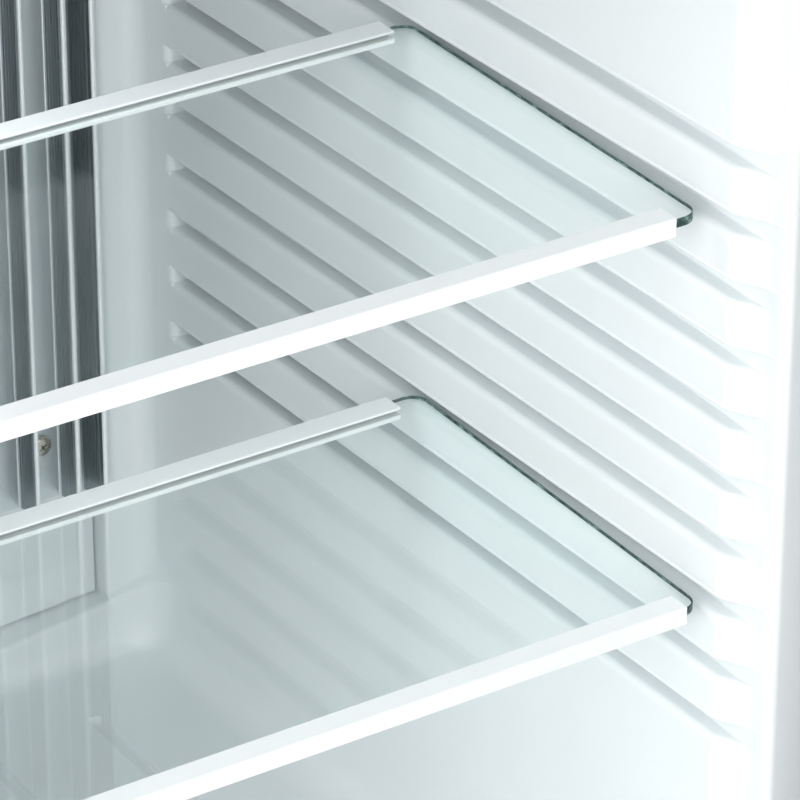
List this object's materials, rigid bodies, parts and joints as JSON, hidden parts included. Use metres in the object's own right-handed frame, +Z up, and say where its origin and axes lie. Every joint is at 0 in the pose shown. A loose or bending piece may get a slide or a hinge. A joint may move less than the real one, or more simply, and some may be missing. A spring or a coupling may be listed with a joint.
{
  "type": "minibar fridge",
  "caption": "Small absorption fridge with its hinged door open, glass shelves in side grooves, a finned cold plate, lift-out door racks and a cooling unit on its back.",
  "frame": {"origin": "centre of the underside of the cabinet's base pan", "axes": "+Z up out of the cabinet's top, -Y out of the door opening, +X to the hinge side"},
  "size_m": [0.537, 0.9653, 0.5723],
  "materials": {
    "white_steel": "satin white paint",
    "galvanised_steel": "galvanised",
    "white_plastic": "moulded, semi-gloss",
    "white_trim": "extruded, semi-gloss",
    "foam": "open foam surface",
    "shelf_glass": "clear, polished edges",
    "clear_plastic": "clear moulded",
    "aluminium": "natural extruded",
    "zinc_screw": "zinc plated",
    "gasket_rubber": "soft matt",
    "grey_plastic": "matt",
    "black_plastic": "fine matt",
    "black_steel": "black matt paint",
    "circuit_board": "matt resin"
  },
  "bodies": {
    "cabinet": {"outer_shell": "white_steel", "base_pan": "galvanised_steel", "back_panel": "galvanised_steel", "insulation_foam": "foam", "inner_liner": "white_plastic", "rear_foot_left": "grey_plastic", "rear_foot_right": "grey_plastic", "cold_plate": "aluminium", "cold_plate_screw_lower_left": "zinc_screw", "cold_plate_screw_lower_right": "zinc_screw", "cold_plate_screw_upper_left": "zinc_screw", "cold_plate_screw_upper_right": "zinc_screw", "drain_spout": "grey_plastic", "control_housing": "white_plastic", "lamp_lens": "clear_plastic", "led_board": "circuit_board", "thermostat_body": "grey_plastic", "top_hinge_plate": "galvanised_steel", "bottom_hinge_plate": "galvanised_steel", "top_hinge_pin": "galvanised_steel", "bottom_hinge_pin": "galvanised_steel", "top_hinge_screw_inner": "zinc_screw", "top_hinge_screw_outer": "zinc_screw", "bottom_hinge_screw_inner": "zinc_screw", "bottom_hinge_screw_outer": "zinc_screw", "top_hinge_cover": "white_plastic", "evaporator_plate": "aluminium", "evaporator_pipe": "black_steel", "boiler_can": "galvanised_steel", "heater_cartridge": "zinc_screw", "absorber_vessel": "black_steel", "absorber_coil": "black_steel", "return_pipe": "black_steel", "condenser": "black_steel", "drip_tray": "grey_plastic", "coil_bracket": "galvanised_steel", "mains_box": "black_plastic", "mains_box_cover": "black_plastic", "mains_inlet": "black_plastic"},
    "door": {"door_panel": "white_steel", "door_cap_bottom": "white_plastic", "door_cap_top": "white_plastic", "door_bush_bottom": "grey_plastic", "door_bush_top": "grey_plastic", "door_liner": "white_plastic", "door_foam": "foam", "door_gasket": "gasket_rubber", "door_handle": "aluminium"},
    "upper_shelf": {"upper_shelf_glass": "shelf_glass", "upper_shelf_front_trim": "white_trim", "upper_shelf_rear_trim": "white_trim"},
    "lower_shelf": {"lower_shelf_glass": "shelf_glass", "lower_shelf_front_trim": "white_trim", "lower_shelf_rear_trim": "white_trim"},
    "upper_rack": {"upper_door_rack": "clear_plastic"},
    "middle_rack": {"middle_door_rack": "clear_plastic"},
    "lower_rack": {"lower_door_rack": "clear_plastic"},
    "knob": {"thermostat_knob": "white_trim"},
    "left_foot": {"front_foot_left": "grey_plastic"},
    "right_foot": {"front_foot_right": "grey_plastic"}
  },
  "joints": [
    {"name": "door_hinge", "type": "hinge", "parent": "cabinet", "child": "door", "pos_m": [0.221, -0.232, 0.2725], "axis": [0, 0, 1], "range_deg": [-90, 25]},
    {"name": "upper_shelf_slide", "type": "slide", "parent": "cabinet", "child": "upper_shelf", "axis": [0, -1, 0], "range_m": [-0.11, 0.14]},
    {"name": "lower_shelf_slide", "type": "slide", "parent": "cabinet", "child": "lower_shelf", "axis": [0, -1, 0], "range_m": [-0.11, 0.14]},
    {"name": "thermostat_turn", "type": "hinge", "parent": "cabinet", "child": "knob", "pos_m": [0.042, -0.0803, 0.48593], "axis": [0, -1, 0], "range_deg": [0, 270]},
    {"name": "left_foot_height", "type": "slide", "parent": "cabinet", "child": "left_foot", "axis": [0, 0, -1], "range_m": [0, 0.008]},
    {"name": "right_foot_height", "type": "slide", "parent": "cabinet", "child": "right_foot", "axis": [0, 0, -1], "range_m": [0, 0.008]},
    {"name": "lower_rack_lift", "type": "slide", "parent": "door", "child": "lower_rack", "axis": [0, 0, 1], "range_m": [0, 0.015]},
    {"name": "middle_rack_lift", "type": "slide", "parent": "door", "child": "middle_rack", "axis": [0, 0, 1], "range_m": [0, 0.015]},
    {"name": "upper_rack_lift", "type": "slide", "parent": "door", "child": "upper_rack", "axis": [0, 0, 1], "range_m": [0, 0.015]}
  ]
}
